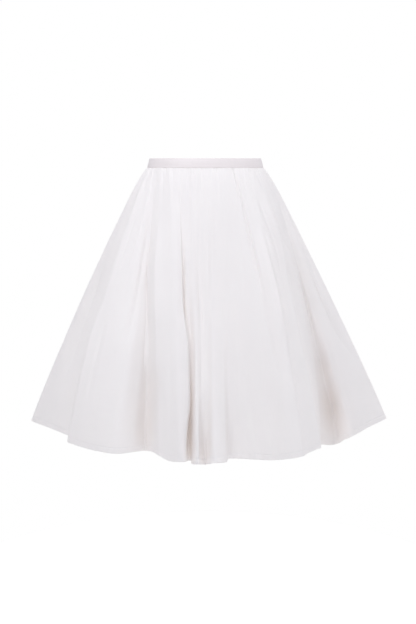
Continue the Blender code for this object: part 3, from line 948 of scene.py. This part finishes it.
def band_material():
    """Greyish lilac satin: smooth, with threads round the waist, long soft streaks and a broad sheen."""
    nodes = Nodes(bpy.data.materials.new("band_satin"))
    place = nodes.add("ShaderNodeTexCoord").outputs["Object"]
    threads = nodes.threads(place, "Z", SATIN_PITCH)
    stretched = nodes.stretch(place, (1, 1, SATIN_STREAK_STRETCH))
    streaks = nodes.noise(stretched, SATIN_STREAKS, SATIN_STREAK_DETAIL)
    pebble = nodes.noise(place, SATIN_PEBBLE)
    normal = nodes.bump(nodes.math("ADD", threads, streaks), SATIN_RELIEF, SATIN_STRENGTH)
    nodes.shade({
        "Base Color": nodes.between(nodes.span(streaks), SATIN_SHADE, SATIN_LIGHT),
        "Roughness": nodes.span(streaks, *SATIN_ROUGHNESS),
        "Normal": nodes.bump(pebble, SATIN_PEBBLE_RELIEF, SATIN_PEBBLE_STRENGTH, normal),
        "Anisotropic": SATIN_ANISOTROPY,
        "Sheen Weight": SATIN_SHEEN,
    })
    return nodes.owner


def thread_material():
    """White sewing thread with the slant of its twist."""
    nodes = Nodes(bpy.data.materials.new("sewing_thread"))
    place = nodes.add("ShaderNodeTexCoord").outputs["Object"]
    twist = nodes.threads(place, "DIAGONAL", TWIST_PITCH)
    fuzz = nodes.noise(place, FUZZ_SCALE, FUZZ_DETAIL)
    nodes.shade({
        "Base Color": nodes.between(fuzz, THREAD_SHADE, THREAD_LIGHT),
        "Roughness": nodes.span(fuzz, *THREAD_ROUGHNESS),
        "Normal": nodes.bump(twist, TWIST_RELIEF, TWIST_STRENGTH),
    })
    return nodes.owner


def floor_material():
    """Matt white paper that glows a little, so that it stays as white as the backdrop."""
    nodes = Nodes(bpy.data.materials.new("white_floor"))
    place = nodes.add("ShaderNodeTexCoord").outputs["Object"]
    grain = nodes.noise(place, GRAIN_SCALE, GRAIN_DETAIL)
    nodes.shade({
        "Base Color": nodes.between(grain, FLOOR_SHADE, FLOOR_LIGHT),
        "Normal": nodes.bump(grain, GRAIN_RELIEF, GRAIN_STRENGTH),
        "Roughness": FLOOR_ROUGHNESS,
        "Emission Color": (1, 1, 1, 1),
        "Emission Strength": FLOOR_GLOW,
    })
    return nodes.owner


def add_camera():
    """The photograph's camera, level with the band and looking a little down."""
    tilt = math.asin((IMAGE_HEIGHT / 2 - HORIZON_ROW) * METRES_PER_PIXEL / CAMERA_DISTANCE)
    camera = bpy.data.cameras.new("camera")
    camera.sensor_width = SENSOR
    camera.lens = CAMERA_DISTANCE * math.cos(tilt) / METRES_PER_PIXEL * SENSOR / IMAGE_HEIGHT
    holder = link(bpy.data.objects.new("camera", camera))
    holder.location = ((IMAGE_WIDTH / 2 - MIDDLE_COLUMN) * METRES_PER_PIXEL, -CAMERA_DISTANCE, 0)
    holder.rotation_euler = (math.pi / 2 - tilt, 0, 0)
    bpy.context.scene.camera = holder


def add_softbox(box):
    light = bpy.data.lights.new(box.name, "AREA")
    light.shape = "RECTANGLE"
    light.size = box.width
    light.size_y = box.height
    light.energy = box.power
    light.color = LIGHT_COLOUR
    holder = link(bpy.data.objects.new(box.name, light))
    holder.location = box.place
    holder.rotation_euler = (Vector(LIGHT_AIM) - Vector(box.place)).to_track_quat("-Z", "Y").to_euler()


def add_world():
    """Soft light from all round, of its own strength from each side, and plain white in the camera's view."""
    world = bpy.data.worlds.new("studio")
    nodes = Nodes(world)
    direction = nodes.add("ShaderNodeTexCoord").outputs["Generated"]
    parts = nodes.add("ShaderNodeSeparateXYZ", inputs={0: direction}).outputs
    total = 0
    for side, strength in SURROUND_LIGHT:
        facing = nodes.math("MULTIPLY", parts[side[1]], -strength if side[0] == "-" else strength)
        total = nodes.math("ADD", total, nodes.math("MAXIMUM", facing, 0))
    fill = nodes.tree.nodes["Background"]
    nodes.put(fill.inputs["Color"], (*LIGHT_COLOUR, 1))
    nodes.put(fill.inputs["Strength"], total)
    white = nodes.add("ShaderNodeBackground", inputs={"Color": (1, 1, 1, 1)})
    seen = nodes.add("ShaderNodeLightPath").outputs["Is Camera Ray"]
    mix = nodes.add("ShaderNodeMixShader", inputs={0: seen, 1: fill.outputs[0], 2: white.outputs[0]})
    nodes.put(nodes.tree.nodes["World Output"].inputs["Surface"], mix.outputs[0])
    bpy.context.scene.world = world


cloth = cloth_material()
satin = band_material()
thread = thread_material()
front_panel = Panel("front", LEFT_SEAM_TURN, RIGHT_SEAM_TURN, FRONT_CREASES, FRONT_NUDGES)
back_panel = Panel("back", RIGHT_SEAM_TURN - 360, LEFT_SEAM_TURN, BACK_CREASES, BACK_NUDGES)
front = cloth_piece("front_cloth", front_panel, cloth)
back = cloth_piece("back_cloth", back_panel, cloth)
band = band_piece("satin_band", satin)
front_hem = hem_stitches("front_hem_stitches", front_panel, thread)
back_hem = hem_stitches("back_hem_stitches", back_panel, thread)
right_allowance = seam_allowance("right_seam_allowance", back_panel, slice(ALLOWANCE_COLUMNS), cloth)
from_left = slice(None, -ALLOWANCE_COLUMNS - 1, -1)
left_allowance = seam_allowance("left_seam_allowance", back_panel, from_left, cloth)
inside_band = band_stitches("band_stitches", thread)
for piece in (front, back, band, front_hem, back_hem, right_allowance, left_allowance, inside_band):
    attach(piece, "root")
for piece, node in ((front, "front_panel"), (back, "back_panel"), (band, "waistband")):
    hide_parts(node)
floor_piece(floor_material())
add_camera()
add_world()
for box in SOFTBOXES:
    add_softbox(box)
bpy.context.scene.view_settings.view_transform = "Standard"
bpy.context.scene.cycles.diffuse_bounces = DIFFUSE_BOUNCES
bpy.context.scene.cycles.max_bounces = ALL_BOUNCES
